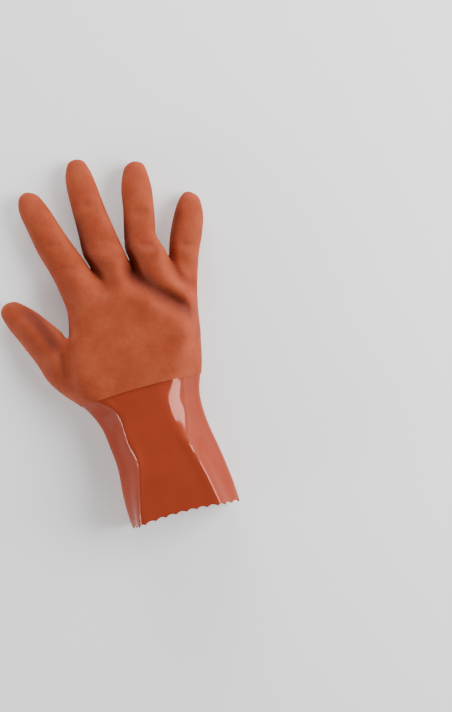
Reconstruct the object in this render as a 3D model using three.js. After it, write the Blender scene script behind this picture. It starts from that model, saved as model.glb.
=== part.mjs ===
// A right-hand protective glove: a knitted liner dipped in soft PVC, with a rough second coat on the hand
// and a smooth, shiny gauntlet cuff that ends in a pinked hem. It lies on its palm, the back of the hand up.
// Millimetres, +Z up, fingers towards +Y, thumb towards -X. The tables are set out from the middle of the
// wrist line, where the rough coat ends, and the finished glove is moved to its own bottom centre.
import * as THREE from "three";

const HAND_WALL = 1.7; // liner and both coats
const CUFF_WALL = 1.2; // liner and first coat only
const LIP = 0.5; // rough coat where it laps over the cuff
const GAP = 0.3; // air left between the two solids
const TONGUE = 0.9; // share of the lap that the cuff reaches up inside the hand
const SCALLOPS = 27; // waves of the pinked hem
const SCALLOP_DEPTH = 2.0;
const POINTS_PER_SCALLOP = 8;
const FINGER_SQUARE = 2.2; // exponent of a finger's section: 2 is an ellipse, more is squarer

// Sections of cuff and palm. left and right are the outline seen from above, ridges the two soft edges of
// the flat upper face, low and high the heights above the table, bow how far the middle of the section
// runs ahead of the line from left to right.
const CUFF_ROWS = [
  { part: "hem", left: [-38.8, -108], right: [51.3, -107], ridges: [-31, 37], low: -1, high: 51, bow: 4 },
  { part: "cuff", left: [-40.0, -92], right: [50.0, -91], ridges: [-28.5, 34], low: -1, high: 50, bow: 2 },
  { part: "cuff", left: [-39.6, -75], right: [47.7, -74], ridges: [-25, 30.5], low: -1, high: 49, bow: 1 },
  { part: "cuff", left: [-38.8, -58], right: [44.6, -57], ridges: [-22.5, 25.5], low: -1, high: 47, bow: 0 },
  { part: "cuff", left: [-40.6, -42], right: [41.5, -41], ridges: [-25, 20.5], low: -1, high: 45, bow: 0 },
  { part: "cuff", left: [-42.6, -28], right: [40.2, -26], ridges: [-26, 17.5], low: -1, high: 43, bow: 1 },
  { part: "cuff", left: [-47.0, -16], right: [41.2, -13], ridges: [-29, 17.5], low: -1, high: 42, bow: 2 },
];
const PALM_ROWS = [
  { part: "wrist", left: [-54.5, -4], right: [44.9, -1], ridges: [-42, 20], low: -1, high: 41.5, bow: 2.5 },
  { part: "heel", left: [-64.2, 6.6], right: [48.6, 11], ridges: [-49, 26], low: -1, high: 41, bow: 3 },
  { part: "heel", left: [-58, 28], right: [51, 23], ridges: [-53, 32], low: -1, high: 40, bow: 1 },
  { part: "palm", left: [-51.8, 51.5], right: [53.4, 35], ridges: [-46.5, 38], low: -0.5, high: 38.5, bow: -1 },
  { part: "palm", left: [-48.4, 63], right: [54.8, 46], ridges: [-43.5, 40], low: 0, high: 37, bow: 2 },
  { part: "palm", left: [-47.2, 75], right: [56.8, 57], ridges: [-42.5, 42], low: 1, high: 36, bow: 5 },
];
const RIDGE_UP = 0.96; // height of the ridges, of the flat face and of the sides' middle, 1 being the top
const FACE_UP = 1;
const SIDE_UP = 0.66;
const SHOULDER_RISE = 0.14; // how much fuller the sides are at their fullest
const SHOULDERS = { left: 25, right: 0 }; // how far from the wrist line each side is fullest
const SHOULDER_REACH = 60; // length over which that dies away
const OUTLINE_UP = 0.34; // height of the outermost line
const UNDERSIDE_EDGE = 0.09; // height of the underside's outer columns
const UNDERSIDE_SPREAD = 1.13; // how far out these columns stand, 1 being even spacing

// The line of the finger roots, from the index side to the little finger: every second column is a web.
const KNUCKLES = [
  { column: "index side", x: -46.5, y: 89, top: 24, bottom: 4 },
  { column: "index", x: -32, y: 92, top: 31.5, bottom: 1 },
  { column: "web", x: -14.5, y: 88, top: 26.5, bottom: 6 },
  { column: "middle", x: 0, y: 92, top: 34, bottom: 1 },
  { column: "web", x: 13, y: 88, top: 27, bottom: 7 },
  { column: "ring", x: 27, y: 90, top: 37, bottom: 2 },
  { column: "web", x: 42.4, y: 87.5, top: 25, bottom: 6 },
  { column: "little", x: 52, y: 78, top: 24, bottom: 1 },
  { column: "little side", x: 57.8, y: 68, top: 19, bottom: 3 },
];
// The middle of the web on the right of each finger.
const WEB_MIDDLES = { index: [-20.8, 102, 13], middle: [11.2, 101, 14], ring: [42.4, 97.5, 14.5] };
const WEB_FADE = 14; // power by which the hollows of the webs die away down the palm
const KNUCKLE_SIDES = { left: [-49.2, 89], right: [59.2, 68], height: 12 };

// Sections of the fingers from root to tip: left and right edges seen from above, heights low and high,
// and lean, how far the section leans to the right for each millimetre of height.
const FINGERS = {
  index: {
    rows: [
      { left: [-53, 106], right: [-23, 107.5], low: 2, high: 27, lean: 0.15 },
      { left: [-57.2, 119], right: [-25.7, 114.5], low: 3, high: 25, lean: 0.15 },
      { left: [-60.7, 134], right: [-31.6, 129], low: 3.5, high: 24, lean: 0.1 },
      { left: [-63.6, 149], right: [-37, 144], low: 2.5, high: 22, lean: 0 },
      { left: [-65.4, 162], right: [-42, 158], low: 0.8, high: 19, lean: 0 },
      { left: [-63.2, 170.5], right: [-47, 168.5], low: 1.5, high: 14.5, lean: 0 },
    ],
    tip: [-56, 174.2, 7.5],
  },
  middle: {
    rows: [
      { left: [-22, 108], right: [9.6, 106.5], low: 3, high: 31, lean: 0.35 },
      { left: [-23.8, 116], right: [8, 115], low: 4, high: 28.5, lean: 0.35 },
      { left: [-23.5, 131], right: [5.3, 130], low: 4, high: 26.5, lean: 0.25 },
      { left: [-23.7, 147], right: [2.7, 146], low: 3.5, high: 24.5, lean: 0.12 },
      { left: [-23.8, 164], right: [0.5, 163], low: 1.8, high: 21.5, lean: 0 },
      { left: [-22.6, 178.5], right: [-1.8, 178], low: 0.6, high: 17.5, lean: 0 },
      { left: [-19, 187.3], right: [-5, 187], low: 3, high: 12.5, lean: 0 },
    ],
    tip: [-12.4, 190.5, 7.5],
  },
  ring: {
    rows: [
      { left: [10.6, 106.5], right: [40.8, 103], low: 4, high: 36, lean: 0.3 },
      { left: [10.8, 115], right: [37.3, 114.5], low: 6, high: 32, lean: 0.3 },
      { left: [13.8, 130], right: [39.2, 128], low: 6, high: 29, lean: 0.25 },
      { left: [16.8, 145], right: [41.5, 143], low: 5, high: 26.5, lean: 0.12 },
      { left: [19.2, 160], right: [42.8, 157], low: 2.8, high: 22.5, lean: 0 },
      { left: [24, 172.4], right: [41.6, 171], low: 2.5, high: 17, lean: 0 },
    ],
    tip: [33.4, 177.6, 9],
  },
  little: {
    rows: [
      { left: [44, 101], right: [66.3, 91.5], low: 1, high: 23, lean: 0 },
      { left: [46.9, 110.5], right: [71.4, 103.5], low: 1, high: 23, lean: 0 },
      { left: [51, 120.5], right: [75.3, 114], low: 1, high: 22, lean: 0.1 },
      { left: [55.7, 130], right: [77.9, 124.5], low: 0.8, high: 20, lean: 0.1 },
      { left: [61, 138.3], right: [77.9, 135.5], low: 1, high: 16.5, lean: 0 },
    ],
    tip: [69.6, 143.8, 7.5],
  },
  thumb: {
    rows: [
      { left: [-75, 21.5], right: [-54.6, 56.4], low: -0.5, high: 33, lean: 0.2 },
      { left: [-79.8, 35], right: [-57.6, 61.3], low: -0.5, high: 30, lean: 0.25 },
      { left: [-85.6, 48.5], right: [-62.2, 67.3], low: -0.5, high: 27, lean: 0.25 },
      { left: [-91, 60.5], right: [-67.6, 74.4], low: -0.5, high: 24.5, lean: 0.2 },
      { left: [-96, 71], right: [-74.4, 82], low: -0.5, high: 21.5, lean: 0.1 },
      { left: [-99.4, 81.5], right: [-84, 90], low: 0.8, high: 16.5, lean: 0 },
    ],
    tip: [-95.4, 90.4, 8],
  },
};

// Folds of the upper side: a ridge where height is above 0, a valley where it is below, along a path seen
// from above, fading out towards both ends.
const FOLDS = [
  {
    name: "valley across the back",
    path: [[10, 102], [13, 91], [21, 78], [34, 65], [47, 53], [60, 41]],
    height: -5.5,
    width: 7,
  },
  {
    name: "edge of the back along the valley",
    path: [[4, 83], [13, 72], [21, 61], [29, 49.5], [37, 38], [44, 27]],
    height: 2,
    width: 9,
  },
  {
    name: "ring finger's root",
    path: [[37, 112], [37.5, 97], [39, 82], [45, 69], [53, 60.5], [62, 54]],
    height: 2.8,
    width: 5,
  },
  {
    name: "hollow beside the little finger",
    path: [[42.4, 108], [43.2, 92], [46.5, 79], [53, 70.5], [62, 64]],
    height: -3,
    width: 4,
  },
  { name: "thumb crease", path: [[-58.5, 50], [-60, 38], [-60.5, 26], [-59.5, 12]], height: -2, width: 4 },
  {
    name: "hollow along the thumb",
    path: [[-82, 86], [-75, 74], [-69, 62], [-65, 50], [-61, 38]],
    height: -1.5,
    width: 7,
  },
  { name: "crease, index finger", path: [[-53, 129], [-36, 124]], height: -1, width: 4 },
  { name: "crease, index finger", path: [[-48, 109], [-30, 104]], height: -1, width: 4 },
  { name: "crease, middle finger", path: [[-18, 153], [0, 150]], height: -1, width: 4 },
  { name: "crease, middle finger", path: [[-12, 122], [8, 119]], height: -0.8, width: 4 },
  { name: "crease, ring finger", path: [[20, 137], [40, 134]], height: -1.2, width: 4 },
  { name: "crease, ring finger", path: [[19, 112], [38, 105]], height: -1.5, width: 4 },
  { name: "crease, little finger", path: [[52, 104], [70, 98]], height: -1, width: 4 },
];
const FOLD_FADE = 12; // longest way over which a fold dies away at each end

const TOP_COLUMNS = 9;
const COLUMNS = 2 * TOP_COLUMNS + 2;
const RIGHT = TOP_COLUMNS; // the columns run T0..T8, right side, B8..B0, left side
const LEFT = COLUMNS - 1;
const FINGER_ANGLES = [135, 90, 45, 0, -45, -90, -135, 180];
const THUMB_ROWS = [1, 3]; // palm rows between which the thumb leaves the palm

const lerp = THREE.MathUtils.lerp;
const bottomColumn = (k) => COLUMNS - 2 - k;
const power = (v, n) => Math.sign(v) * Math.abs(v) ** (2 / n);

// Where each column of a section lies: across from -1 at the left to 1 at the right, up from 0 to 1.
function plainSection({ left, right, ridges }) {
  const shoulder = (y, fullest) => {
    const away = Math.abs(y - fullest) / SHOULDER_REACH;
    return SIDE_UP + SHOULDER_RISE * Math.max(0, 1 - away);
  };
  const [leftUp, rightUp] = [shoulder(left[1], SHOULDERS.left), shoulder(right[1], SHOULDERS.right)];
  const across = (x) => (2 * (x - left[0])) / (right[0] - left[0]) - 1;
  const [near, far] = ridges.map(across);
  const section = Array(COLUMNS);
  for (let k = 0; k < TOP_COLUMNS; k++) {
    const share = (k - 1) / (TOP_COLUMNS - 3);
    const [first, last] = [k === 0, k === TOP_COLUMNS - 1];
    const top = first ? (near - 1) / 2 : last ? (far + 1) / 2 : lerp(near, far, share);
    const onRidge = share === 0 || share === 1;
    const height = first ? leftUp : last ? rightUp : onRidge ? RIDGE_UP : FACE_UP;
    const under = (2 * (k + 1)) / (TOP_COLUMNS + 1) - 1;
    section[k] = { across: top, up: height };
    const lift = first || last ? UNDERSIDE_EDGE : 0;
    section[bottomColumn(k)] = { across: under * UNDERSIDE_SPREAD, up: lift };
  }
  section[LEFT] = { across: -1, up: OUTLINE_UP };
  section[RIGHT] = { across: 1, up: OUTLINE_UP };
  return section;
}

// The same for the finger roots, where the columns follow the fingers and webs.
function knuckleSection(high) {
  const { left, right, height } = KNUCKLE_SIDES;
  const across = (x) => (2 * (x - left[0])) / (right[0] - left[0]) - 1;
  const section = Array(COLUMNS);
  KNUCKLES.forEach(({ x, top, bottom }, k) => {
    section[k] = { across: across(x), up: top / high };
    section[bottomColumn(k)] = { across: across(x), up: bottom / high };
  });
  section[LEFT] = { across: -1, up: height / high };
  section[RIGHT] = { across: 1, up: height / high };
  return section;
}

// One ring of points round the cuff or palm.
function sectionRing(row, section) {
  return section.map(({ across, up }) => {
    const side = (across + 1) / 2;
    return new THREE.Vector3(
      lerp(row.left[0], row.right[0], side),
      lerp(row.left[1], row.right[1], side) + row.bow * (1 - across * across),
      lerp(row.low, row.high, up),
    );
  });
}

// One ring of points round a finger, in the upright plane through its two edges.
function fingerRing({ left, right, low, high, lean }) {
  const width = Math.hypot(right[0] - left[0], right[1] - left[1]);
  const shift = (lean * (high - low)) / width; // of the top against the middle, in half widths
  return FINGER_ANGLES.map((degrees) => {
    const angle = THREE.MathUtils.degToRad(degrees);
    const rise = power(Math.sin(angle), FINGER_SQUARE);
    const out = power(Math.cos(angle), FINGER_SQUARE);
    const side = 0.5 + 0.5 * (out * Math.sqrt(1 - shift ** 2) + rise * shift);
    const up = 0.5 + 0.5 * rise;
    const [x, y] = [0, 1].map((axis) => lerp(left[axis], right[axis], side));
    return new THREE.Vector3(x, y, lerp(low, high, up));
  });
}

// A net of four-sided faces over the whole glove. Its points lie on the finished surface.
function gloveNet() {
  const points = [];
  const faces = [];
  const parts = [];
  const add = (ring) => ring.map((p) => points.push(p) - 1);
  const strip = (from, to, part, keep = () => true) =>
    from.forEach((_, c) => {
      const next = (c + 1) % from.length;
      if (!keep(c)) return;
      faces.push([from[c], from[next], to[next], to[c]]);
      parts.push(part);
    });

  const rows = [...CUFF_ROWS, ...PALM_ROWS];
  const wrist = CUFF_ROWS.length;
  const palmHigh = PALM_ROWS[PALM_ROWS.length - 1].high;
  const knuckle = knuckleSection(palmHigh);
  const rings = rows.map((row, i) => {
    const share = Math.max(0, i - wrist) / PALM_ROWS.length;
    const section = plainSection(row).map((from, k) => ({
      across: lerp(from.across, knuckle[k].across, share),
      up: lerp(from.up, knuckle[k].up, share ** WEB_FADE),
    }));
    return add(sectionRing(row, section));
  });

  const roots = Array(COLUMNS);
  KNUCKLES.forEach(({ x, y, top, bottom }, k) => {
    const pair = [top, bottom].map((z) => new THREE.Vector3(x, y, z));
    [roots[k], roots[bottomColumn(k)]] = add(pair);
  });
  const { left, right, height } = KNUCKLE_SIDES;
  const sides = [left, right].map((side) => new THREE.Vector3(...side, height));
  [roots[LEFT], roots[RIGHT]] = add(sides);
  rings.push(roots);

  const inThumb = (i, c) => {
    const row = i - wrist;
    return row >= THUMB_ROWS[0] && row < THUMB_ROWS[1] && (c === LEFT || c === LEFT - 1);
  };
  for (let i = 0; i + 1 < rings.length; i++)
    strip(rings[i], rings[i + 1], i < wrist ? "cuff" : "hand", (c) => !inThumb(i, c));

  const tube = (root, { rows: sections, tip }) => {
    let last = root;
    for (const section of sections) {
      const ring = add(fingerRing(section));
      strip(last, ring, "hand");
      last = ring;
    }
    const [end] = add([new THREE.Vector3(...tip)]);
    for (let c = 0; c < last.length; c += 2) {
      faces.push([last[c], last[c + 1], last[(c + 2) % last.length], end]);
      parts.push("hand");
    }
  };
  const webs = Object.values(WEB_MIDDLES).map((place) => new THREE.Vector3(...place));
  const middles = [roots[LEFT], ...add(webs), roots[RIGHT]];
  ["index", "middle", "ring", "little"].forEach((name, j) => {
    const t = [2 * j, 2 * j + 1, 2 * j + 2];
    const over = t.map((k) => roots[k]);
    const under = t.map((k) => roots[bottomColumn(k)]).reverse();
    tube([...over, middles[j + 1], ...under, middles[j]], FINGERS[name]);
  });
  const [first, last] = THUMB_ROWS;
  const [near, middle, far] = rings.slice(wrist + first, wrist + last + 1);
  const over = [near[0], middle[0], far[0]];
  const under = [far, middle, near].map((ring) => ring[bottomColumn(0)]);
  tube([...over, far[LEFT], ...under, near[LEFT]], FINGERS.thumb);
  return tidy({ points, faces, parts });
}

// Drops the points that no face uses.
function tidy({ points, faces, parts }) {
  const place = new Map();
  const used = [];
  const moved = faces.map((face) =>
    face.map((v) => {
      if (!place.has(v)) place.set(v, used.push(points[v]) - 1);
      return place.get(v);
    }),
  );
  return { points: used, faces: moved, parts };
}

// Every edge of the net, with its two ends and the faces on each side.
function edgesOf({ faces }) {
  const edges = new Map();
  faces.forEach((face, f) =>
    face.forEach((a, i) => {
      const b = face[(i + 1) % face.length];
      const key = a < b ? `${a},${b}` : `${b},${a}`;
      if (!edges.has(key)) edges.set(key, { ends: [a, b], faces: [] });
      edges.get(key).faces.push(f);
    }),
  );
  return edges;
}

// For each point of a net: what it takes to find where it ends up on the smooth surface.
function limitRule(net) {
  const around = net.points.map(() => ({ edges: [], corners: [], rim: [] }));
  for (const { ends, faces } of edgesOf(net).values())
    [0, 1].forEach((i) => {
      around[ends[i]].edges.push(ends[1 - i]);
      if (faces.length === 1) around[ends[i]].rim.push(ends[1 - i]);
    });
  net.faces.forEach((face) => face.forEach((v, i) => around[v].corners.push(face[(i + 2) % 4])));
  return around;
}

const sum = (points, list) => list.reduce((total, i) => total.add(points[i]), new THREE.Vector3());

// The place of each point on the smooth surface that repeated Catmull-Clark subdivision tends to.
function onLimit(points, rule) {
  return rule.map(({ edges, corners, rim }, v) => {
    if (rim.length) return sum(points, rim).addScaledVector(points[v], 4).divideScalar(6);
    const n = edges.length;
    return sum(points, edges)
      .multiplyScalar(4)
      .add(sum(points, corners))
      .addScaledVector(points[v], n * n)
      .divideScalar(n * (n + 5));
  });
}

// Moves the net's points out until the smooth surface passes through where they were.
function drawThrough(net) {
  const rule = limitRule(net);
  const points = net.points.map((p) => p.clone());
  for (let turn = 0; turn < 60; turn++) {
    const limit = onLimit(points, rule);
    points.forEach((p, v) => p.add(net.points[v]).sub(limit[v]));
  }
  return { ...net, points };
}

const mean = (list) => {
  const total = list.reduce((added, p) => added.add(p), new THREE.Vector3());
  return total.divideScalar(list.length);
};

// One step of Catmull-Clark subdivision.
function subdivide(net) {
  const { points, faces, parts } = net;
  const edges = edgesOf(net);
  const facePoints = faces.map((face) => sum(points, face).divideScalar(face.length));
  const touching = points.map(() => ({ faces: [], middles: [], rim: [] }));
  faces.forEach((face, f) => face.forEach((v) => touching[v].faces.push(facePoints[f])));
  const made = [...points.map((p) => p.clone()), ...facePoints];
  for (const edge of edges.values()) {
    const [a, b] = edge.ends;
    const middle = points[a].clone().add(points[b]).multiplyScalar(0.5);
    [a, b].forEach((v) => {
      touching[v].middles.push(middle);
      if (edge.faces.length === 1) touching[v].rim.push(middle);
    });
    const beside = mean(edge.faces.map((f) => facePoints[f]));
    const point = edge.faces.length === 2 ? mean([middle, beside]) : middle.clone();
    edge.point = made.push(point) - 1;
  }
  points.forEach((p, v) => {
    const { faces: near, middles, rim } = touching[v];
    if (rim.length) {
      made[v] = mean(rim).add(p).multiplyScalar(0.5);
      return;
    }
    const n = middles.length;
    made[v] = mean(near).addScaledVector(mean(middles), 2).addScaledVector(p, n - 3).divideScalar(n);
  });
  const newFaces = [];
  const newParts = [];
  faces.forEach((face, f) =>
    face.forEach((v, i) => {
      const link = (a, b) => edges.get(a < b ? `${a},${b}` : `${b},${a}`).point;
      const before = face[(i + face.length - 1) % face.length];
      newFaces.push([v, link(v, face[(i + 1) % face.length]), points.length + f, link(before, v)]);
      newParts.push(parts[f]);
    }),
  );
  return { points: made, faces: newFaces, parts: newParts };
}

// Outward normals of a net's points.
function normalsOf({ points, faces }) {
  const normals = points.map(() => new THREE.Vector3());
  faces.forEach(([a, b, c, d]) => {
    const across = points[c].clone().sub(points[a]);
    const normal = across.cross(points[d].clone().sub(points[b]));
    [a, b, c, d].forEach((v) => normals[v].add(normal));
  });
  return normals.map((n) => n.normalize());
}

// How far the folds lift or sink a point of the upper side.
function foldHeight(p) {
  let total = 0;
  for (const { path, height, width } of FOLDS) {
    const corners = path.map(([x, y]) => new THREE.Vector2(x, y));
    const lengths = corners.slice(1).map((c, i) => c.distanceTo(corners[i]));
    const whole = lengths.reduce((a, b) => a + b);
    let nearest = Infinity;
    let along = 0;
    let before = 0;
    lengths.forEach((length, i) => {
      const way = corners[i + 1].clone().sub(corners[i]).divideScalar(length);
      const run = THREE.MathUtils.clamp(new THREE.Vector2(p.x, p.y).sub(corners[i]).dot(way), 0, length);
      const gap = corners[i].clone().addScaledVector(way, run).distanceTo(p);
      if (gap < nearest) [nearest, along] = [gap, before + run];
      before += length;
    });
    const reach = Math.min(FOLD_FADE, whole / 3);
    const fade = THREE.MathUtils.smoothstep(Math.min(along, whole - along), 0, reach);
    total += height * fade * Math.exp(-((nearest / width) ** 2));
  }
  return total;
}

// The outer surface of the whole glove, fine enough for the solids, with its folds. Its normals are those
// from before the folds, so that the wall behind a fold follows it.
function gloveSurface() {
  const fine = subdivide(drawThrough(gloveNet()));
  fine.points = onLimit(fine.points, limitRule(fine));
  const normals = normalsOf(fine);
  fine.points.forEach((p, v) => {
    const upper = THREE.MathUtils.smoothstep(normals[v].z, 0.1, 0.8);
    if (upper > 0) p.z += upper * foldHeight(p);
  });
  return { ...fine, normals };
}

// A ring of points as an ordered loop, starting anywhere, from the edges that run along it.
function loopOf(edges) {
  const next = new Map(edges);
  const loop = [edges[0][0]];
  while (next.get(loop[loop.length - 1]) !== loop[0]) loop.push(next.get(loop[loop.length - 1]));
  return loop;
}

// The edges of one part's faces that only one of its faces has, as [from, to] in the faces' own direction.
function openEdges(faces) {
  const seen = new Set(faces.flatMap((face) => face.map((v, i) => `${v},${face[(i + 1) % 4]}`)));
  return faces
    .flatMap((face) => face.map((v, i) => [v, face[(i + 1) % 4]]))
    .filter(([a, b]) => !seen.has(`${b},${a}`));
}

// Collects triangles into one closed geometry.
class Skin {
  constructor() {
    this.positions = [];
    this.triangles = [];
  }
  point(p) {
    this.positions.push(p.x, p.y, p.z);
    return this.positions.length / 3 - 1;
  }
  triangle(a, b, c) {
    this.triangles.push(a, b, c);
  }
  quad(a, b, c, d) {
    this.triangle(a, b, c);
    this.triangle(a, c, d);
  }
  backQuad(a, b, c, d) {
    this.quad(c, b, a, d);
  }
  band(from, to) {
    from.forEach((_, i) => {
      const next = (i + 1) % from.length;
      this.quad(from[i], from[next], to[next], to[i]);
    });
  }
  geometry() {
    const made = new THREE.BufferGeometry();
    made.setAttribute("position", new THREE.Float32BufferAttribute(this.positions, 3));
    made.setIndex(this.triangles);
    made.computeVertexNormals();
    return made;
  }
}

// A point sunk below the glove's surface, and kept at least as far above the table.
function sunk(surface, v, depth, floor) {
  const p = surface.points[v].clone().addScaledVector(surface.normals[v], -depth);
  p.z = Math.max(p.z, floor);
  return p;
}

// The faces of one part of the glove.
const facesOf = (surface, part) => surface.faces.filter((_, f) => surface.parts[f] === part);

// The ring of points one face in from an open edge, in the order of the edge's own points.
function ringInside(faces, loop) {
  return loop.map((v, i) => {
    const next = loop[(i + 1) % loop.length];
    const face = faces.find((corners) => corners.includes(v) && corners.includes(next));
    return face[(face.indexOf(v) + 3) % 4];
  });
}

// The wrist line's points, and the ring of points above them.
function wristRings(surface) {
  const faces = facesOf(surface, "hand");
  const wrist = loopOf(openEdges(faces));
  return { wrist, above: ringInside(faces, wrist) };
}

// The hand: five fingers and palm in one skin, open at the wrist, where a thin lip laps over the cuff.
function handGeometry(surface, { wrist, above }) {
  const skin = new Skin();
  const lipRing = new Set(wrist);
  const outer = new Map();
  const inner = new Map();
  const keep = (map, v, make) => map.get(v) ?? map.set(v, skin.point(make())).get(v);
  const outside = (v) => keep(outer, v, () => sunk(surface, v, 0, 0));
  const inside = (v) => keep(inner, v, () => sunk(surface, v, HAND_WALL, HAND_WALL));
  for (const face of facesOf(surface, "hand")) {
    skin.quad(...face.map(outside));
    if (!face.some((v) => lipRing.has(v))) skin.backQuad(...face.map(inside));
  }
  const lip = (v) => skin.point(sunk(surface, v, LIP, LIP));
  const lipEnd = wrist.map(lip);
  const shoulder = above.map(lip);
  skin.band(wrist.map(outside).reverse(), lipEnd.slice().reverse());
  skin.band(lipEnd.slice().reverse(), shoulder.slice().reverse());
  skin.band(shoulder.slice().reverse(), above.map(inside).reverse());
  return skin.geometry();
}

// The cuff: a wide tube that runs up inside the lip and ends below in the pinked hem.
function cuffGeometry(surface, { wrist, above }) {
  const skin = new Skin();
  const depths = { outside: LIP + GAP, inside: LIP + GAP + CUFF_WALL };
  const cuffFaces = facesOf(surface, "cuff");
  const atWrist = new Set(wrist);
  const hem = loopOf(openEdges(cuffFaces).filter(([a]) => !atWrist.has(a)));
  const onHem = new Set(hem);
  const before = ringInside(cuffFaces, hem);
  const rims = {};
  for (const [side, depth] of Object.entries(depths)) {
    const floor = side === "outside" ? 0 : CUFF_WALL;
    const turned = (list) => (side === "outside" ? list : list.slice().reverse());
    const made = new Map();
    const level = (v) => (atWrist.has(v) ? depth : floor);
    const at = (v) => made.get(v) ?? made.set(v, skin.point(sunk(surface, v, depth, level(v)))).get(v);
    for (const face of cuffFaces) {
      if (face.some((v) => onHem.has(v))) continue;
      if (side === "outside") skin.quad(...face.map(at));
      else skin.backQuad(...face.map(at));
    }

    const tongue = wrist.map((v, i) =>
      skin.point(sunk(surface, v, depth, depth).lerp(sunk(surface, above[i], depth, depth), TONGUE)),
    );
    skin.band(turned(wrist.map(at)), turned(tongue));

    // The hem's wave: points finer than the last two rings, then the wave itself.
    const fine = SCALLOPS * POINTS_PER_SCALLOP;
    const shoulder = [];
    const edge = [];
    for (let k = 0; k < fine; k++) {
      const place = (k * hem.length) / fine;
      const i = Math.floor(place);
      const next = (i + 1) % hem.length;
      const [low, up] = [hem, before].map((ring) => {
        const [from, to] = [ring[i], ring[next]].map((v) => sunk(surface, v, depth, floor));
        return from.lerp(to, place - i);
      });
      const wave = 0.5 - 0.5 * Math.cos((2 * Math.PI * k) / POINTS_PER_SCALLOP);
      const run = up.distanceTo(low);
      shoulder.push(skin.point(low.clone().lerp(up, (2 * SCALLOP_DEPTH) / run)));
      edge.push(skin.point(low.clone().lerp(up, (SCALLOP_DEPTH * wave) / run)));
    }
    skin.band(turned(edge), turned(shoulder));
    const triangle = (x, y, z) => (side === "outside" ? skin.triangle(x, y, z) : skin.triangle(z, y, x));
    before.forEach((v, i) => {
      const [first, last] = [i, i + 1].map((n) => Math.round((n * fine) / hem.length));
      const half = Math.round((first + last) / 2);
      const [a, b] = [at(v), at(before[(i + 1) % hem.length])];
      for (let k = first; k < last; k++) triangle(shoulder[k], shoulder[(k + 1) % fine], k < half ? a : b);
      triangle(a, shoulder[half], b);
    });
    rims[side] = { tongue, edge };
  }
  skin.band(rims.outside.tongue, rims.inside.tongue);
  skin.band(rims.inside.edge, rims.outside.edge);
  return skin.geometry();
}

function piece(name, geometry, look) {
  const mesh = new THREE.Mesh(geometry, new THREE.MeshStandardMaterial(look));
  mesh.name = name;
  return mesh;
}

const surface = gloveSurface();
const rings = wristRings(surface);
const glove = new THREE.Group();
glove.add(piece("hand", handGeometry(surface, rings), { color: 0xbc5c3a, roughness: 0.8, metalness: 0 }));
glove.add(piece("cuff", cuffGeometry(surface, rings), { color: 0xab4527, roughness: 0.2, metalness: 0 }));
const box = new THREE.Box3().setFromObject(glove);
const middle = box.getCenter(new THREE.Vector3());
glove.position.set(-middle.x, -middle.y, -box.min.z);

export default glove;
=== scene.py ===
# A right-hand gauntlet work glove of dipped soft PVC, lying on its palm: the hand has a rough matt second
# coat, the cuff is smooth and shiny and ends in a pinked hem.
import math

import bpy
import numpy as np
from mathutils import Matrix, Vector


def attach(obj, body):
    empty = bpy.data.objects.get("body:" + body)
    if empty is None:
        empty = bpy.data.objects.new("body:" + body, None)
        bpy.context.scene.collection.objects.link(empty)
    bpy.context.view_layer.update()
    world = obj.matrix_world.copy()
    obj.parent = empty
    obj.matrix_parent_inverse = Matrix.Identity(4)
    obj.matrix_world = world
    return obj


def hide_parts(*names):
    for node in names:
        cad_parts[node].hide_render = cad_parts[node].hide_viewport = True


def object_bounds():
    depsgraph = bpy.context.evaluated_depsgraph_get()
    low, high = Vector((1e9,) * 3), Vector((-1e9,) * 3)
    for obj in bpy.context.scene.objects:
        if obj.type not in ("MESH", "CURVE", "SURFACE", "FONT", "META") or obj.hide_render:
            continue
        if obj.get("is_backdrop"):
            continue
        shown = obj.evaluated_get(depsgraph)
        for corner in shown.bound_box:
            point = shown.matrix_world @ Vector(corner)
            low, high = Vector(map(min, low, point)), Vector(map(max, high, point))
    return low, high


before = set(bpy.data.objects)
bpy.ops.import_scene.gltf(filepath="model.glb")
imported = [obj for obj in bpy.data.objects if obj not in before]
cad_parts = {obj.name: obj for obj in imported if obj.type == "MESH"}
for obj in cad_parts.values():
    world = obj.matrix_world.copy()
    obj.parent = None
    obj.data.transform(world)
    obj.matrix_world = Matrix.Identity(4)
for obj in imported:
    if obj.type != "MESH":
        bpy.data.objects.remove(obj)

cad_low, cad_high = (np.array(corner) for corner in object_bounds())


# The dipping former
# Such a glove takes its form from a hand-shaped former that is dipped in liquid PVC with a knitted liner
# on it, so hand and cuff share one surface. The tables are its sections, in millimetres from the middle
# of the wrist line: fingers towards +Y, thumb towards -X, the back of the hand up.
MM = 0.001                          # one millimetre, in metres


def table(columns, *rows):
    """Rows of numbers with a name for each column."""
    return np.array(list(rows), dtype=[(name, float) for name in columns.split()])


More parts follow.
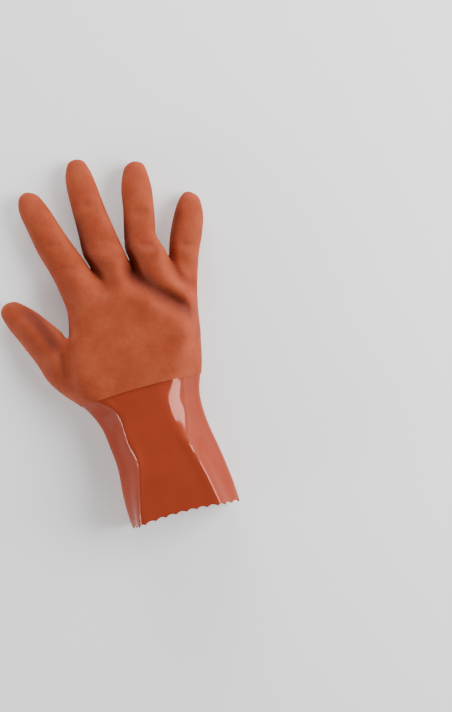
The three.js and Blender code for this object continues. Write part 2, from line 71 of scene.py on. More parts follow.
# A section runs from its left to its right end, seen from above. Ridges are where the flat top's two soft
# edges lie across it, low and high its heights, and bow is how far its middle lies ahead of its ends.
SECTION = "left_x left_y right_x right_y ridge_left ridge_right low high bow"
CUFF_ROWS = table(
    SECTION,
    (-38.8, -108, 51.3, -107, -31, 37, -1, 51, 4),
    (-40.0, -92, 50.0, -91, -28.5, 34, -1, 50, 2),
    (-39.6, -75, 47.7, -74, -25, 30.5, -1, 49, 1),
    (-38.8, -58, 44.6, -57, -22.5, 25.5, -1, 47, 0),
    (-40.6, -42, 41.5, -41, -25, 20.5, -1, 45, 0),
    (-42.6, -28, 40.2, -26, -26, 17.5, -1, 43, 1),
    (-47.0, -16, 41.2, -13, -29, 17.5, -1, 42, 2),
)
PALM_ROWS = table(
    SECTION,
    (-54.5, -4, 44.9, -1, -42, 20, -1, 41.5, 2.5),
    (-64.2, 6.6, 48.6, 11, -49, 26, -1, 41, 3),
    (-58, 28, 51, 23, -53, 32, -1, 40, 1),
    (-51.8, 51.5, 53.4, 35, -46.5, 38, -0.5, 38.5, -1),
    (-48.4, 63, 54.8, 46, -43.5, 40, 0, 37, 2),
    (-47.2, 75, 56.8, 57, -42.5, 42, 1, 36, 5),
)
# The line of the finger roots: every second column is a web between two fingers.
KNUCKLES = table(
    "x y top bottom",
    (-46.5, 89, 24, 4),
    (-32, 92, 31.5, 1),
    (-14.5, 88, 26.5, 6),
    (0, 92, 34, 1),
    (13, 88, 27, 7),
    (27, 90, 37, 2),
    (42.4, 87.5, 25, 6),
    (52, 78, 24, 1),
    (57.8, 68, 19, 3),
)
KNUCKLE_LEFT = (-49.2, 89, 12)
KNUCKLE_RIGHT = (59.2, 68, 12)
WEB_MIDDLES = table("x y z", (-20.8, 102, 13), (11.2, 101, 14), (42.4, 97.5, 14.5))
WEB_FADE = 14                       # power of the way to the finger roots: the palm dips late to the webs
SHOULDER_RISE, SHOULDER_REACH = 0.14, 60    # share of the height by which a side is fuller, and how far
SHOULDER_LEFT, SHOULDER_RIGHT = 25, 0       # how far from the wrist line each side is fullest
# A finger's section is an oval between its two sides. Lean is how far its top leans to the right.
FINGER = "left_x left_y right_x right_y low high lean"
FINGERS = {
    "index": table(
        FINGER,
        (-53, 106, -23, 107.5, 2, 27, 0.15),
        (-57.2, 119, -25.7, 114.5, 3, 25, 0.15),
        (-60.7, 134, -31.6, 129, 3.5, 24, 0.1),
        (-63.6, 149, -37, 144, 2.5, 22, 0),
        (-65.4, 162, -42, 158, 0.8, 19, 0),
        (-63.2, 170.5, -47, 168.5, 1.5, 14.5, 0),
    ),
    "middle": table(
        FINGER,
        (-22, 108, 9.6, 106.5, 3, 31, 0.35),
        (-23.8, 116, 8, 115, 4, 28.5, 0.35),
        (-23.5, 131, 5.3, 130, 4, 26.5, 0.25),
        (-23.7, 147, 2.7, 146, 3.5, 24.5, 0.12),
        (-23.8, 164, 0.5, 163, 1.8, 21.5, 0),
        (-22.6, 178.5, -1.8, 178, 0.6, 17.5, 0),
        (-19, 187.3, -5, 187, 3, 12.5, 0),
    ),
    "ring": table(
        FINGER,
        (10.6, 106.5, 40.8, 103, 4, 36, 0.3),
        (10.8, 115, 37.3, 114.5, 6, 32, 0.3),
        (13.8, 130, 39.2, 128, 6, 29, 0.25),
        (16.8, 145, 41.5, 143, 5, 26.5, 0.12),
        (19.2, 160, 42.8, 157, 2.8, 22.5, 0),
        (24, 172.4, 41.6, 171, 2.5, 17, 0),
    ),
    "little": table(
        FINGER,
        (44, 101, 66.3, 91.5, 1, 23, 0),
        (46.9, 110.5, 71.4, 103.5, 1, 23, 0),
        (51, 120.5, 75.3, 114, 1, 22, 0.1),
        (55.7, 130, 77.9, 124.5, 0.8, 20, 0.1),
        (61, 138.3, 77.9, 135.5, 1, 16.5, 0),
    ),
    "thumb": table(
        FINGER,
        (-75, 21.5, -54.6, 56.4, -0.5, 33, 0.2),
        (-79.8, 35, -57.6, 61.3, -0.5, 30, 0.25),
        (-85.6, 48.5, -62.2, 67.3, -0.5, 27, 0.25),
        (-91, 60.5, -67.6, 74.4, -0.5, 24.5, 0.2),
        (-96, 71, -74.4, 82, -0.5, 21.5, 0.1),
        (-99.4, 81.5, -84, 90, 0.8, 16.5, 0),
    ),
}
FINGERTIPS = {
    "index": (-56, 174.2, 7.5),
    "middle": (-12.4, 190.5, 7.5),
    "ring": (33.4, 177.6, 9),
    "little": (69.6, 143.8, 7.5),
    "thumb": (-95.4, 90.4, 8),
}
COLUMNS = 20                        # points round a section
TOP = np.arange(9)                  # columns over the back of the hand, from the thumb's side
RIDGES = 1, 7                       # columns on the two soft edges of the flat top
RIGHT, LEFT = 9, 19                 # the two outermost columns
BOTTOM = 18 - TOP                   # columns of the underside, each below its column of the top
THUMB_ROWS = (1, 3)                 # palm rows between which the thumb leaves the palm
RIDGE_UP, SIDE_UP, OUTLINE_UP, UNDER_UP = 0.96, 0.66, 0.34, 0.09    # shares of a section's height
UNDERSIDE_SPREAD = 1.13             # how much wider than even the columns of the underside lie
FINGER_POINTS = np.radians([135, 90, 45, 0, -45, -90, -135, 180])   # angles round a finger
FINGER_SQUARE = 2.2                 # power of a finger's superellipse, 2 for a plain ellipse


def plain_columns(rows):
    """Across (-1 to 1) and up (0 to 1) of each column: flat between the ridges, straight sides, flat below.

    Towards the row where a side is fullest, its upper column rises by a share that falls off evenly.
    """
    width = rows["right_x"] - rows["left_x"]
    near, far = (2 * (rows[name] - rows["left_x"]) / width - 1 for name in ("ridge_left", "ridge_right"))
    across = np.zeros((len(rows), COLUMNS))
    across[:, TOP] = near[:, None] + (far - near)[:, None] * (TOP - RIDGES[0]) / (RIDGES[1] - RIDGES[0])
    across[:, TOP[0]] = (near - 1) / 2
    across[:, TOP[-1]] = (far + 1) / 2
    across[:, BOTTOM] = UNDERSIDE_SPREAD * (2 * (TOP + 1) / (len(TOP) + 1) - 1)
    across[:, [LEFT, RIGHT]] = -1, 1
    up = np.zeros(COLUMNS)
    up[TOP] = 1
    up[TOP[[0, -1]]] = SIDE_UP
    up[list(RIDGES)] = RIDGE_UP
    up[BOTTOM[[0, -1]]] = UNDER_UP
    up[[LEFT, RIGHT]] = OUTLINE_UP
    up = np.tile(up, (len(rows), 1))
    for column, y, fullest in ((0, rows["left_y"], SHOULDER_LEFT), (-1, rows["right_y"], SHOULDER_RIGHT)):
        up[:, TOP[column]] += SHOULDER_RISE * np.clip(1 - np.abs(y - fullest) / SHOULDER_REACH, 0, None)
    return across, up


def between_edges(rows, side, up):
    """Points of each section: straight from its left (side 0) to its right edge (1), from low to high."""
    x = rows["left_x"][:, None] * (1 - side) + rows["right_x"][:, None] * side
    y = rows["left_y"][:, None] * (1 - side) + rows["right_y"][:, None] * side
    z = rows["low"][:, None] * (1 - up) + rows["high"][:, None] * up
    return np.stack([x, y, z], axis=-1)


def section_rings(rows, across, up):
    """Points of each section, bowed ahead in the middle by its bow times (1 minus across squared)."""
    rings = between_edges(rows, (across + 1) / 2, up)
    rings[..., 1] += rows["bow"][:, None] * (1 - across ** 2)
    return rings


def knuckle_ring():
    """The ring of points along the finger roots, over the top and back along the underside."""
    ring = np.zeros((COLUMNS, 3))
    ring[TOP] = np.stack([KNUCKLES["x"], KNUCKLES["y"], KNUCKLES["top"]], axis=-1)
    ring[BOTTOM] = np.stack([KNUCKLES["x"], KNUCKLES["y"], KNUCKLES["bottom"]], axis=-1)
    ring[LEFT], ring[RIGHT] = KNUCKLE_LEFT, KNUCKLE_RIGHT
    return ring


def signed_power(value, exponent):
    """The size of the value to the power, with the value's own sign."""
    return np.sign(value) * np.abs(value) ** exponent


def finger_rings(rows):
    """Eight points round each section of a finger: a superellipse whose top leans to the right.

    Out is the cosine and rise the sine of the point's angle, each to the power 2 over FINGER_SQUARE.
    Across is out times the root of (1 minus lean squared), plus rise times lean, so the width seen from
    above stays.
    """
    out, rise = (signed_power(wave(FINGER_POINTS), 2 / FINGER_SQUARE) for wave in (np.cos, np.sin))
    width = np.hypot(rows["right_x"] - rows["left_x"], rows["right_y"] - rows["left_y"])
    lean = (rows["lean"] * (rows["high"] - rows["low"]) / width)[:, None]
    side = 0.5 + 0.5 * (out * np.sqrt(1 - lean ** 2) + rise * lean)
    return between_edges(rows, side, 0.5 + 0.5 * rise)


def strips(rings):
    """Four-sided faces between neighbouring rings of point numbers, closed round each ring."""
    beside = np.roll(rings, -1, axis=1)
    return np.stack([rings[:-1], beside[:-1], beside[1:], rings[1:]], axis=-1)


def former_net():
    """The net over the former, whose points lie on the finished surface.

    Gives its points, its faces, which faces are cuff, and the point numbers of the rows that the cuff needs.
    """
    rows = np.concatenate([CUFF_ROWS, PALM_ROWS])
    wrist = len(CUFF_ROWS)
    across, up = plain_columns(rows)
    roots = knuckle_ring()
    share = np.clip(np.arange(len(rows)) - wrist, 0, None)[:, None] / len(PALM_ROWS)
    root_across = 2 * (roots[:, 0] - KNUCKLE_LEFT[0]) / (KNUCKLE_RIGHT[0] - KNUCKLE_LEFT[0]) - 1
    root_up = roots[:, 2] / PALM_ROWS["high"][-1]
    across = across * (1 - share) + root_across * share
    up = up * (1 - share ** WEB_FADE) + root_up * share ** WEB_FADE
    rings = np.concatenate([section_rings(rows, across, up), roots[None]])
    points = [rings.reshape(-1, 3)]
    numbers = np.arange(len(rings) * COLUMNS).reshape(-1, COLUMNS)
    body = strips(numbers)
    keep = np.ones(body.shape[:2], bool)
    keep[wrist + THUMB_ROWS[0]:wrist + THUMB_ROWS[1], LEFT - 1:] = False
    cuff = np.broadcast_to(np.arange(len(body))[:, None] < wrist, keep.shape)[keep]
    faces = [body[keep]]

    count = numbers.size
    points.append(np.stack([WEB_MIDDLES["x"], WEB_MIDDLES["y"], WEB_MIDDLES["z"]], axis=-1))
    last = numbers[-1]
    sides = [last[LEFT], *range(count, count + len(WEB_MIDDLES)), last[RIGHT]]
    count += len(WEB_MIDDLES)
    bases = {}
    for number, name in enumerate(("index", "middle", "ring", "little")):
        top = TOP[2 * number:2 * number + 3]
        bottom = BOTTOM[top]
        bases[name] = [*last[top], sides[number + 1], *last[bottom[::-1]], sides[number]]
    near, middle, far = numbers[wrist + THUMB_ROWS[0]:wrist + THUMB_ROWS[1] + 1]
    under = BOTTOM[0]
    bases["thumb"] = [near[0], middle[0], far[0], far[LEFT],
                      far[under], middle[under], near[under], near[LEFT]]
    for name, base in bases.items():
        made = finger_rings(FINGERS[name])
        numbered = count + np.arange(made.shape[0] * made.shape[1]).reshape(made.shape[:2])
        faces.append(strips(np.vstack([base, numbered])).reshape(-1, 4))
        count += numbered.size
        end = numbered[-1]
        corner = end[0::2]
        faces.append(np.stack([corner, end[1::2], np.roll(corner, -1), np.full(4, count)], axis=-1))
        points += [made.reshape(-1, 3), np.array([FINGERTIPS[name]], float)]
        count += 1
    faces = np.vstack(faces)
    points = np.vstack(points)
    used, inverse = np.unique(faces, return_inverse=True)
    cuff = np.concatenate([cuff, np.zeros(len(faces) - len(cuff), bool)])
    cuff_numbers = np.searchsorted(used, numbers[:wrist + 3])
    return points[used], inverse.reshape(-1, 4), cuff, cuff_numbers


def drawn_through(points, faces):
    """Control points whose smooth surface passes through the given points.

    A point of a Catmull-Clark surface ends up at (n squared times itself, plus 4 times its n neighbours
    along the edges, plus the n opposite corners of its faces) over n times (n + 5), and on an open edge at
    (4 times itself plus its 2 neighbours on the edge) over 6. The controls solve that set of equations.
    """
    count = len(points)
    linked = np.zeros((count, count))
    corner = np.zeros((count, count))
    for step in (1, 3):
        linked[faces, np.roll(faces, -step, axis=1)] = 1
    one_way = np.zeros((count, count))
    one_way[faces, np.roll(faces, -1, axis=1)] = 1
    rim = ((one_way + one_way.T) == 1).astype(float)
    np.add.at(corner, (faces, np.roll(faces, -2, axis=1)), 1)
    valence = linked.sum(axis=1)
    rule = (np.diag(valence ** 2) + 4 * linked + corner) / (valence * (valence + 5))[:, None]
    on_rim = rim.any(axis=1)
    rule[on_rim] = (4 * np.eye(count) + rim)[on_rim] / 6
    return np.linalg.solve(rule, points)


net_points, net_faces, net_is_cuff, cuff_numbers = former_net()
controls = drawn_through(net_points, net_faces)


# Folds and dents
# The soft coat keeps the folds that it was packed with, and the fingers keep the bend of the former. A
# row is a fold of the upper side: a ridge where height is above 0 and a valley below, along a smooth
# path seen from above, with its width on the path's left and right.
FOLDS = [
    # name, path, height, width to the left, width to the right
    ("valley across the back", [(10, 102), (13, 91), (21, 78), (34, 65), (47, 53), (66, 36)], -5.5, 6, 8),
    ("edge of the back", [(4, 83), (13, 72), (21, 61), (29, 49.5), (37, 38), (44, 27)], 2, 8, 10),
    ("ring finger's root", [(37, 112), (37.5, 97), (39, 82), (45, 69), (53, 60.5), (62, 54)], 2.8, 3.5, 7),
    ("hollow by the little finger", [(42.4, 108), (43.2, 92), (46.5, 79), (53, 70.5), (62, 64)], -3, 3.5, 3),
    ("thumb crease", [(-58.5, 50), (-60, 38), (-60.5, 26), (-59.5, 12)], -2, 3.5, 4),
    ("hollow along the thumb", [(-82, 86), (-75, 74), (-69, 62), (-65, 50), (-61, 38)], -2.6, 6.5, 6),
    ("crease, index finger", [(-53, 129), (-36, 124)], -1, 3, 4),
    ("crease, index finger", [(-48, 109), (-30, 104)], -1, 3, 4),
    ("crease, middle finger", [(-18, 153), (0, 150)], -1, 3, 4),
    ("crease, middle finger", [(-12, 122), (8, 119)], -0.8, 3, 4),
    ("crease, ring finger", [(20, 137), (40, 134)], -1.2, 3, 4),
    ("crease, ring finger", [(19, 112), (38, 105)], -1.5, 3, 4),
    ("crease, little finger", [(52, 104), (70, 98)], -1, 3, 4),
]
FOLD_FADE = 12                      # a fold dies away over this length at each end, or a third of its path
PATH_STEPS = 60
FACING_UP = 0.1, 0.8                # how far the surface's normal points up where folds begin and are whole


def smoothstep(value, low, high):
    """0 below low, 1 above high, and between them share squared times (3 minus twice the share)."""
    share = np.clip((value - low) / (high - low), 0, 1)
    return share ** 2 * (3 - 2 * share)


def fold_path(corners):
    """A smooth path and its lengths: the lowest polynomial through the corners, over the straight run."""
    corners = np.array(corners, float)
    run = np.concatenate([[0], np.cumsum(np.hypot(*np.diff(corners, axis=0).T))])
    along = np.linspace(0, run[-1], PATH_STEPS)
    path = [np.polyval(np.polyfit(run, side, len(corners) - 1), along) for side in corners.T]
    return np.stack(path, axis=-1), along


def fold_heights(points, folds):
    """Sum over the folds of height times e to the power of minus (distance over width) squared.

    The distance is taken to the path seen from above, and each fold fades out towards its two ends.
    """
    total = np.zeros(len(points))
    for _, corners, height, width_left, width_right in folds:
        path, along = fold_path(corners)
        away = points[:, None, :2] - path[None]
        nearest = np.argmin((away ** 2).sum(axis=2), axis=1)
        away = away[np.arange(len(points)), nearest]
        way = np.gradient(path, axis=0)[nearest]
        left = way[:, 0] * away[:, 1] - way[:, 1] * away[:, 0] > 0
        width = np.where(left, width_left, width_right)
        end = np.minimum(along[nearest], along[-1] - along[nearest])
        fade = smoothstep(end, 0, min(FOLD_FADE, along[-1] / 3))
        total += height * fade * np.exp(-(away ** 2).sum(axis=1) / width ** 2)
    return total


def folded(points, normals, folds):
    """The points lifted by the folds where the surface looks up and kept above the table, and the lift."""
    lift = fold_heights(points, folds) * smoothstep(normals[:, 2], *FACING_UP)
    made = points + lift[:, None] * (0, 0, 1)
    made[:, 2] = np.maximum(made[:, 2], 0)
    return made, lift


# The hand
# Palm, fingers and thumb in one skin: a knitted liner under two coats of soft PVC, the second one strewn
# with fine grit that leaves it rough and matt. It ends at the wrist line in a thin lip on the first coat.
HAND_WALL = 1.7
LIP = 0.7                           # wall of the second coat alone
LIP_LENGTH, LIP_TAPER = 7, 2        # of the lip past the wrist line, and of its slope to the full wall
WRIST_LINE = [-54.5, -5, 44.9], [-4, 0, -1]     # x, then y, of its left end, middle and right end
HAND_FINENESS = 3                   # subdivisions
SHARP = math.radians(55)            # an edge that turns more than this stays crisp
# Painted shade: the colour is darkened along the thumb's inner side, which the palm and index finger shade,
# and on the sides of the fingers that face the thumb, where the fingers shade each other. The rows are as
# those of FOLDS.
SHADE_FACING_THUMB = 0, 0.5               # how far the normal points to the thumb where that begins and is whole
SHADE_ALONG_THUMB = [("thumb", [(-88, 90), (-78, 82), (-71, 69), (-65, 56), (-60, 40)], 2.6, 5.5, 5.5)]
SHADE_ON_SIDES = [
    ("middle finger", [(-23, 150), (-22, 136), (-21.5, 121), (-17.8, 100), (-12.5, 84)], 4, 5, 5),
    ("ring finger", [(15.5, 138), (14.5, 124), (13.5, 107), (15.5, 90)], 4, 4, 4),
    ("little finger", [(60, 140), (49, 110), (43.5, 92), (44.5, 74)], 3.2, 4, 4),
]


def smooth_former(levels):
    """The former's net subdivided to the smooth surface: points, normals, faces, which faces are cuff.

    The number of a face's material marks the cuff, because subdivision hands it on to the finer faces.
    """
    mesh = bpy.data.meshes.new("former")
    mesh.from_pydata(controls, [], net_faces.tolist())
    mesh.polygons.foreach_set("material_index", net_is_cuff.astype(np.int32))
    former = bpy.data.objects.new("former", mesh)
    bpy.context.scene.collection.objects.link(former)
    former.data.materials.append(None)
    former.data.materials.append(None)
    smooth = former.modifiers.new("smooth", "SUBSURF")
    smooth.levels = smooth.render_levels = levels
    fine = former.evaluated_get(bpy.context.evaluated_depsgraph_get()).data
    points = np.empty(len(fine.vertices) * 3)
    normals = np.empty(len(fine.vertices) * 3)
    corners = np.empty(len(fine.loops), np.int32)
    is_cuff = np.empty(len(fine.polygons), np.int32)
    fine.vertices.foreach_get("co", points)
    fine.vertices.foreach_get("normal", normals)
    fine.loops.foreach_get("vertex_index", corners)
    fine.polygons.foreach_get("material_index", is_cuff)
    bpy.data.objects.remove(former)
    return points.reshape(-1, 3), normals.reshape(-1, 3), corners.reshape(-1, 4), is_cuff == 1


def walled(points, normals, faces, wall):
    """A hollow skin: the outer points, the same points less the wall times the normals, and rims.

    The inside stays at least the wall above the table. An edge that only one face uses is open, and gets
    a four-sided rim face between outside and inside.
    """
    inner = points - wall[:, None] * normals
    inner[:, 2] = np.maximum(inner[:, 2], wall)
    count = len(points)
    ways = np.stack([faces, np.roll(faces, -1, axis=1)], axis=-1).reshape(-1, 2)
    alone = ~np.isin(ways @ (count, 1), ways @ (1, count))
    start, end = ways[alone].T
    rim = np.stack([end, start, start + count, end + count], axis=-1)
    return np.vstack([points, inner]), np.vstack([faces, faces[:, ::-1] + count, rim])


def new_piece(name, points, faces, material, body="root"):
    """A mesh object of smooth faces that rides on a body, from points in millimetres on the former."""
    mesh = bpy.data.meshes.new(name)
    mesh.from_pydata((points + set_down) * MM, [], faces.tolist())
    mesh.polygons.foreach_set("use_smooth", np.ones(len(faces), bool))
    mesh.materials.append(material)
    piece = bpy.data.objects.new(name, mesh)
    bpy.context.scene.collection.objects.link(piece)
    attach(piece, body)
    return piece


def linear(hex_colour):
    """An sRGB hex colour as linear red, green, blue and alpha.

    A dark part is divided by 12.92; any other gets 0.055 more, over 1.055, to the power 2.4.
    """
    parts = np.array([int(hex_colour[i:i + 2], 16) / 255 for i in (1, 3, 5)])
    light = np.where(parts <= 0.04045, parts / 12.92, ((parts + 0.055) / 1.055) ** 2.4)
    return (*light, 1.0)


def connect(tree, node, inputs):
    """Sets a node's sockets: each to its value, or linked to the output that is given for it."""
    for name, value in inputs.items():
        if isinstance(value, bpy.types.NodeSocket):
            tree.links.new(value, node.inputs[name])
        else:
            node.inputs[name].default_value = value


def add(tree, kind, inputs=None, **settings):
    """Adds a node: settings are its properties, inputs the values of its sockets or the outputs for them."""
    made = tree.nodes.new(kind)
    for name, value in settings.items():
        setattr(made, name, value)
    connect(tree, made, inputs or {})
    return made


def new_material(name):
    """A material, its node tree and the surface shader in it."""
    material = bpy.data.materials.new(name)
    material.use_nodes = True
    return material, material.node_tree, material.node_tree.nodes["Principled BSDF"]


def rough_pvc():
    """Soft PVC, dipped a second time and strewn with grit while wet: matt, uneven and cloudy in colour.

    The eye sees no clear highlight and a fine speckle. Painted shade makes the colour a deeper red-brown
    down in the folds, along the thumb's inner side and on the finger sides that face the thumb. Clouds are
    16 mm and unevenness 5 mm wide. Real grit of 0.3 mm would be less than half a pixel in the picture, so
    it is drawn at 1.1 mm.
    """
    clouds_mm, uneven_mm, grit_mm = 16, 5, 1.1
    material, tree, surface = new_material("rough_pvc_second_coat")
    place = add(tree, "ShaderNodeTexCoord").outputs["Object"]
    clouds, uneven, grit = (
        add(tree, "ShaderNodeTexNoise", {
            "Vector": place, "Scale": 1 / (size_mm * MM), "Detail": detail}).outputs["Fac"]
        for size_mm, detail in ((clouds_mm, 2.0), (uneven_mm, 3.0), (grit_mm, 2.0)))
    spread = add(tree, "ShaderNodeMapRange", {"Value": clouds, "From Min": 0.35, "From Max": 0.65})
    base = add(tree, "ShaderNodeMix", data_type="RGBA", inputs={
        "Factor": spread.outputs["Result"], "A": linear("#923E25"), "B": linear("#9D482D")})
    # Painted shade: the colour darkens towards #522522 with the painted shade depth, in the fold valleys and
    # on the shaded sides between the fingers.
    shade_depth_mm = add(tree, "ShaderNodeAttribute", attribute_name="painted_shade_depth").outputs["Fac"]
    shade = add(tree, "ShaderNodeMapRange", {
        "Value": shade_depth_mm, "From Min": 0.2, "From Max": 4.5, "To Max": 0.56})
    shaded = add(tree, "ShaderNodeMix", data_type="RGBA", inputs={
        "Factor": shade.outputs["Result"], "A": base.outputs["Result"], "B": linear("#522522")})
    grain = add(tree, "ShaderNodeMapRange", {
        "Value": grit, "From Min": 0.3, "From Max": 0.7, "To Min": 0.93, "To Max": 1.07})
    speckled = add(tree, "ShaderNodeVectorMath", operation="SCALE", inputs={
        0: shaded.outputs["Result"], "Scale": grain.outputs["Result"]})
    waves = add(tree, "ShaderNodeBump", {"Height": uneven, "Distance": 0.5 * MM, "Strength": 0.5})
    bump = add(tree, "ShaderNodeBump", {
        "Height": grit, "Distance": 0.35 * MM, "Strength": 0.6, "Normal": waves.outputs["Normal"]})
    connect(tree, surface, {
        "Base Color": speckled.outputs["Vector"], "Roughness": 0.62, "IOR": 1.52, "Specular IOR Level": 0.08,
        "Normal": bump.outputs["Normal"]})
    return material


former_points, former_normals, former_faces, former_is_cuff = smooth_former(HAND_FINENESS)
hand_faces = former_faces[~former_is_cuff]
used, hand_faces = np.unique(hand_faces, return_inverse=True)
hand_faces = hand_faces.reshape(-1, 4)
hand_normals = former_normals[used]
hand_points, hand_lift = folded(former_points[used], hand_normals, FOLDS)
# From the wrist's middle to the CAD's frame, where the middle of the whole glove is over the origin.
whole_points, _ = folded(former_points, former_normals, FOLDS)
set_down = (cad_low + cad_high) / 2 / MM - (whole_points.min(axis=0) + whole_points.max(axis=0)) / 2
set_down[2] = 0
past_wrist = hand_points[:, 1] - np.interp(hand_points[:, 0], *WRIST_LINE)
wall = LIP + (HAND_WALL - LIP) * smoothstep(past_wrist, LIP_LENGTH - LIP_TAPER, LIP_LENGTH)
hand = new_piece("hand_skin", *walled(hand_points, hand_normals, hand_faces, wall), rough_pvc())
hand.data.set_sharp_from_angle(angle=SHARP)
# Painted shade: the colour darkens in the fold valleys and along the thumb's inner side and the finger sides
# that face the thumb, where shade falls.
side_shade = fold_heights(hand_points, SHADE_ALONG_THUMB)
side_shade += fold_heights(hand_points, SHADE_ON_SIDES) * smoothstep(-hand_normals[:, 0], *SHADE_FACING_THUMB)
painted_shade_depth = hand.data.attributes.new("painted_shade_depth", "FLOAT", "POINT")
painted_shade_depth.data.foreach_set("value", np.tile(side_shade - hand_lift, 2))      # outside and inside
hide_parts("hand")


# The cuff
# A wide sleeve with the first coat only, smooth and shiny, pressed flat on top between two soft edges,
# with broad shoulders at the right and thin ridges at the left. It runs up under the lip of the second
# coat, and its hem is cut with pinking shears.
CUFF_WALL = 1.2
TONGUE = 4.5                        # how far it runs up under the second coat
SCALLOPS = 27
SCALLOP_DEPTH = 1.8
COLUMNS_PER_SCALLOP = 12
CUFF_FINENESS = 90                  # rows of the mesh from hem to wrist
HEM_CROWDING = 1.2                  # above 1 the rows lie closer towards the hem
HEM_STEPS = 6                       # points round the hem's edge
CUFF_FOLDS = [
    ("upper left edge", [(-34, 1), (-28.7, -13), (-25.4, -33), (-28.7, -54)], 0.6, 2.5, 3),
    ("lower left edge", [(-18.7, -47), (-21.5, -67), (-30.9, -107)], 0.9, 2.5, 3),
    ("upper right shoulder", [(30, -15), (28.5, -30), (28, -44), (30, -60)], 2.6, 6, 8),
    ("lower right shoulder", [(28, -44), (30, -60), (35.5, -85), (44, -120)], 2.4, 4.5, 6),
]


def spline_weights(place):
    """Weights of a uniform cubic B-spline's four controls at the given share of a span.

    The first is the cube of what is left of the span and the last the cube of the share, each over 6. The
    two between are the cubics that join them smoothly, and all four add up to 1.
    """
    return np.stack([
        (1 - place) ** 3,
        3 * place ** 3 - 6 * place ** 2 + 4,
        -3 * place ** 3 + 3 * place ** 2 + 3 * place + 1,
        place ** 3,
    ]) / 6


def spline_surface(grid, v, u):
    """Points of the B-spline surface over a grid of controls, at v along its rows and u round its columns.

    A point is the sum over the 4 by 4 controls round it of row weight times column weight times control.
    """
    row = np.minimum(v.astype(int), len(grid) - 4)
    column = np.floor(u).astype(int)
    weights_v = spline_weights(v - row)
    weights_u = spline_weights(u - column)
    total = np.zeros((*v.shape, 3))
    for i in range(4):
        for j in range(4):
            weight = weights_v[i] * weights_u[j]
            total += weight[..., None] * grid[row + i, (column + j - 1) % grid.shape[1]]
    return total


def cuff_outside(v, u):
    """The former's surface at rows v (0 at the hem) and columns u, its normals, and its ways up the arm.

    The controls get one more row below the hem, as far below it as the next one is above. A normal is the
    cross product of two short steps over the surface, round the arm and along it.
    """
    grid = controls[cuff_numbers]
    grid = np.concatenate([2 * grid[:1] - grid[1:2], grid])
    points = spline_surface(grid, v, u)
    step = 0.01                     # of a row or column
    along = spline_surface(grid, v + step, u) - points
    across = spline_surface(grid, v, u + step) - points
    normals = np.cross(across, along)
    normals /= np.linalg.norm(normals, axis=-1, keepdims=True)
    return points, normals, along / np.linalg.norm(along, axis=-1, keepdims=True)


def gloss_pvc():
    """Soft PVC as it comes from its only dip: deep colour, smooth and glossy, with slow waves 22 mm wide.

    The eye sees clear reflections of the lamps, softly bent, on the flat top and along its edges. A faint
    bloom on the PVC takes the gloss off where it is seen edge-on, so the steep sides keep their colour.
    """
    wave_mm = 22
    material, tree, surface = new_material("glossy_pvc_first_coat")
    place = add(tree, "ShaderNodeTexCoord").outputs["Object"]
    waves = add(tree, "ShaderNodeTexNoise", {
        "Vector": place, "Scale": 1 / (wave_mm * MM), "Detail": 1.0}).outputs["Fac"]
    base = add(tree, "ShaderNodeMix", data_type="RGBA", inputs={
        "Factor": waves, "A": linear("#8A331E"), "B": linear("#933923")})
    edge_on = add(tree, "ShaderNodeLayerWeight", {"Blend": 0.5}).outputs["Facing"]
    gloss = add(tree, "ShaderNodeMapRange", {
        "Value": edge_on, "From Min": 0.2, "From Max": 0.5, "To Min": 0.8, "To Max": 0.06})
    bump = add(tree, "ShaderNodeBump", {"Height": waves, "Distance": 0.8 * MM, "Strength": 0.5})
    connect(tree, surface, {
        "Base Color": base.outputs["Result"], "Roughness": 0.12, "IOR": 1.53,
        "Specular IOR Level": gloss.outputs["Result"], "Specular Tint": linear("#FFB8A6"),
        "Normal": bump.outputs["Normal"]})
    return material


def cuff_places():
    """Rows v and columns u of the sleeve's points, evenly round the arm and closer towards the hem.

    At the hem v is the size of a sine, one half wave to a scallop, and each row above shares the rest of
    the way to the wrist by its number's share to the power HEM_CROWDING.
    """
    across = np.arange(SCALLOPS * COLUMNS_PER_SCALLOP)
    row_length = CUFF_ROWS["left_y"][1] - CUFF_ROWS["left_y"][0]
    wave = np.abs(np.sin(np.pi * across / COLUMNS_PER_SCALLOP)) * SCALLOP_DEPTH / row_length
    rise = np.linspace(0, 1, CUFF_FINENESS) ** HEM_CROWDING
    v = wave + (len(CUFF_ROWS) - wave) * rise[:, None]
    return v, np.broadcast_to(across * COLUMNS / len(across), v.shape)


# The sleeve is a closed loop carried round the arm: up the outside, over the tongue's end, down the inside
# and round the hem's edge in a half circle: cosine times the normal plus sine times the way along.
sheet, normals, along = cuff_outside(*cuff_places())
lifted, _ = folded(sheet.reshape(-1, 3), normals.reshape(-1, 3), FOLDS + CUFF_FOLDS)
sheet = lifted.reshape(sheet.shape)
sheet = np.concatenate([sheet, sheet[-1:] + along[-1:] * TONGUE])
normals = np.concatenate([normals, normals[-1:]])
outer = sheet - LIP * normals
inner = sheet - (LIP + CUFF_WALL) * normals
turn = np.linspace(0, np.pi, HEM_STEPS + 2)[1:-1, None, None]
hem = (outer[:1] + inner[:1]) / 2 - CUFF_WALL / 2 * (np.cos(turn) * normals[:1] + np.sin(turn) * along[:1])
loop = np.concatenate([outer, inner[::-1], hem])
loop[..., 2] = np.maximum(loop[..., 2], 0)
numbers = np.arange(loop.shape[0] * loop.shape[1]).reshape(loop.shape[:2])
ahead, beside = np.roll(numbers, -1, axis=0), np.roll(numbers, -1, axis=1)
cuff_faces = np.stack([numbers, beside, np.roll(ahead, -1, axis=1), ahead], axis=-1).reshape(-1, 4)
cuff = new_piece("cuff_sleeve", loop.reshape(-1, 3), cuff_faces, gloss_pvc())
cuff.data.set_sharp_from_angle(angle=SHARP)
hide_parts("cuff")


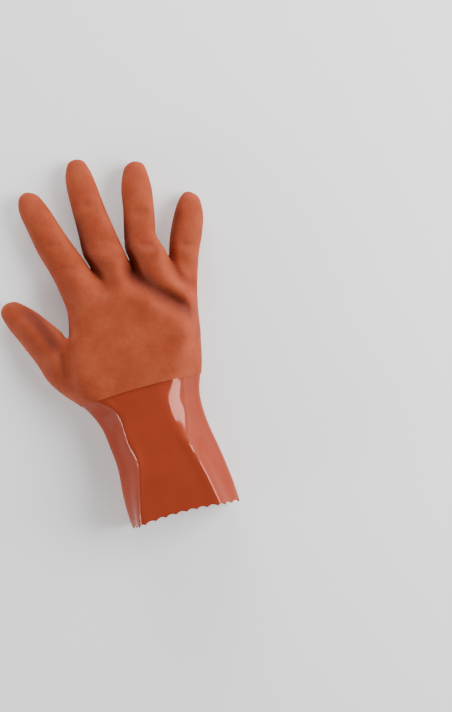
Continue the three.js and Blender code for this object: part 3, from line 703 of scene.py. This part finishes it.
# Floor, light and camera
# A pale matt table top under soft lamps from the right, from beyond the fingers and low from the left, in
# a room whose walls glow palely and whose ceiling is dim. It is seen from straight overhead with a long
# lens, turned so that the fingers point up and a little to the left.
TABLE_HALF = 3.0                    # metres from its middle to each edge
TABLE_DROP = 0.2 * MM               # below the glove, so that the two never share a plane
WALL_GLOW, CEILING_GLOW = 1.15, 0.1
GLOVE_PLANE = 20 * MM               # height at which the photograph's scale was taken
VIEW_HEIGHT = 569.6 * MM            # of the picture at that height: 712 pixels of 0.8 mm
LENS, SENSOR = 150, 36              # the sensor's longer side spans the picture's height
CAMERA_FROM_WRIST = np.array((67.9, 7.8)) * MM      # the picture's middle
TURN = math.radians(14)             # of the glove in the picture


def table_paper():
    """Uncoated white paper on a table top: matt, even and pale, with a faint glow as on a light table."""
    material, tree, surface = new_material("white_table_top")
    connect(tree, surface, {
        "Base Color": linear("#F4F4F4"), "Roughness": 0.9,
        "Emission Color": linear("#FFFFFF"), "Emission Strength": 0.25})
    return material


corners = TABLE_HALF * np.array([(-1, -1, 0), (1, -1, 0), (1, 1, 0), (-1, 1, 0)]) - (0, 0, TABLE_DROP)
floor_mesh = bpy.data.meshes.new("table_top")
floor_mesh.from_pydata(corners, [], [(0, 1, 2, 3)])
floor_mesh.materials.append(table_paper())
floor = bpy.data.objects.new("table_top", floor_mesh)
bpy.context.scene.collection.objects.link(floor)
floor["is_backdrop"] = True

# The room's glow falls from the walls' to the ceiling's as the direction turns up.
world = bpy.data.worlds.new("studio")
world.use_nodes = True
room = world.node_tree
direction = add(room, "ShaderNodeTexCoord").outputs["Object"]
height = add(room, "ShaderNodeSeparateXYZ", {"Vector": direction}).outputs["Z"]
glow = add(room, "ShaderNodeMapRange", {
    "Value": height, "From Min": 0.1, "From Max": 0.7, "To Min": WALL_GLOW, "To Max": CEILING_GLOW})
connect(room, room.nodes["Background"], {"Color": linear("#FFFFFF"), "Strength": glow.outputs["Result"]})
bpy.context.scene.world = world


def soft_lamp(name, azimuth, elevation, distance, width, height, power):
    """A rectangular lamp aimed at the glove: degrees from the picture's right and up, metres and watts."""
    data = bpy.data.lights.new(name, "AREA")
    data.shape = "RECTANGLE"
    data.size = width
    data.size_y = height
    data.energy = power
    lamp = bpy.data.objects.new(name, data)
    round_table = math.radians(azimuth) - TURN
    up = math.radians(elevation)
    way = Vector((math.cos(round_table) * math.cos(up), math.sin(round_table) * math.cos(up), math.sin(up)))
    lamp.location = way * distance
    lamp.rotation_euler = way.to_track_quat("Z", "Y").to_euler()
    bpy.context.scene.collection.objects.link(lamp)


soft_lamp("right", 12, 33, 1.3, 1.0, 0.95, 30)
soft_lamp("beyond the fingers", 95, 20, 1.3, 0.9, 0.5, 16)
soft_lamp("left", 204, 14, 1.3, 0.7, 0.3, 10)

camera_data = bpy.data.cameras.new("camera")
camera_data.lens = LENS
camera_data.sensor_width = SENSOR
camera = bpy.data.objects.new("camera", camera_data)
camera.location = (*(CAMERA_FROM_WRIST + set_down[:2] * MM), GLOVE_PLANE + VIEW_HEIGHT * LENS / SENSOR)
camera.rotation_euler = (0, 0, -TURN)
bpy.context.scene.collection.objects.link(camera)
bpy.context.scene.camera = camera
